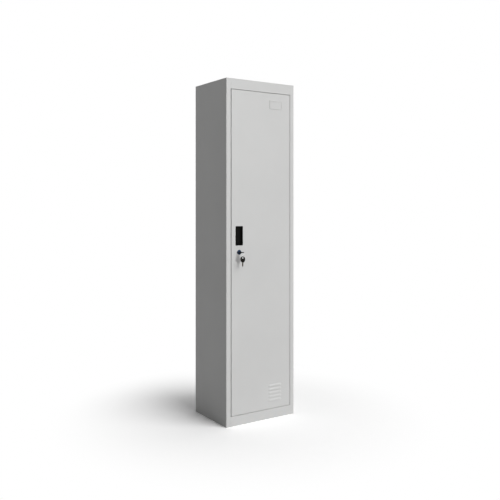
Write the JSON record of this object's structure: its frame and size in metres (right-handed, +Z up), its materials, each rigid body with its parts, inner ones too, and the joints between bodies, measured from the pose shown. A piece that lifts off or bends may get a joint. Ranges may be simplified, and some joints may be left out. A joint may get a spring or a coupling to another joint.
{
  "type": "metal locker",
  "caption": "Tall free-standing sheet-steel locker with one inset hinged door, recessed pull, cam lock with keys, louvres and card holder; hat shelf and hanging rail inside.",
  "frame": {"origin": "middle of the cabinet's footprint, on the floor", "axes": "+Z up; the door faces -Y; +X to the right of someone who faces the door"},
  "size_m": [0.445, 0.3839, 1.85],
  "materials": {
    "cabinet_paint": "light grey powder coat, fine orange peel, satin",
    "blue_lacquer": "dark blue gloss lacquer",
    "bright_plating": "polished plating",
    "zinc_plating": "dull zinc plating",
    "key_metal": "nickel-plated brass, worn",
    "key_moulding": "black moulded plastic",
    "black_moulding": "black moulded ABS",
    "buffer_rubber": "soft black rubber",
    "white_nylon": "natural nylon"
  },
  "bodies": {
    "cabinet": {"left_side_panel": "cabinet_paint", "right_side_panel": "cabinet_paint", "back_panel": "cabinet_paint", "top_panel": "cabinet_paint", "plinth_floor": "cabinet_paint", "shelf_runners": "cabinet_paint", "hat_shelf": "cabinet_paint", "hanging_rail": "bright_plating", "rail_cradles": "zinc_plating", "upper_pivot_plate": "zinc_plating", "lower_pivot_plate": "zinc_plating", "pivot_washer": "white_nylon", "door_buffers": "buffer_rubber"},
    "door": {"door_panel": "cabinet_paint", "door_stiffener": "cabinet_paint", "door_corner_plates": "zinc_plating", "upper_pivot_pin": "zinc_plating", "lower_pivot_pin": "zinc_plating", "card_holder": "cabinet_paint", "pull_cup": "black_moulding", "lock_barrel": "blue_lacquer", "lock_nut": "zinc_plating"},
    "lock_core": {"lock_plug": "blue_lacquer", "lock_cam": "zinc_plating", "cam_screw": "zinc_plating"},
    "key": {"key_blade": "key_metal", "key_head": "key_moulding"},
    "ring": {"key_ring": "bright_plating"},
    "spare_key": {"spare_key_blade": "key_metal", "spare_key_head": "key_moulding"}
  },
  "joints": [
    {"name": "door_swing", "type": "hinge", "parent": "cabinet", "child": "door", "pos_m": [0.186, -0.1614, 0.923], "axis": [0, 0, 1], "range_deg": [0, 110]},
    {"name": "lock_turn", "type": "hinge", "parent": "door", "child": "lock_core", "pos_m": [-0.142, -0.167, 0.924], "axis": [0, 1, 0], "range_deg": [0, 90]},
    {"name": "key_pull", "type": "slide", "parent": "lock_core", "child": "key", "axis": [0, -1, 0], "range_m": [0, 0.03]},
    {"name": "ring_swing", "type": "hinge", "parent": "key", "child": "ring", "pos_m": [-0.142, -0.2025, 0.924], "axis": [1, 0, 0], "range_deg": [-20, 0]},
    {"name": "spare_key_swing", "type": "hinge", "parent": "ring", "child": "spare_key", "pos_m": [-0.142, -0.2025, 0.9002], "axis": [0, 1, 0], "range_deg": [-25, 25]}
  ]
}
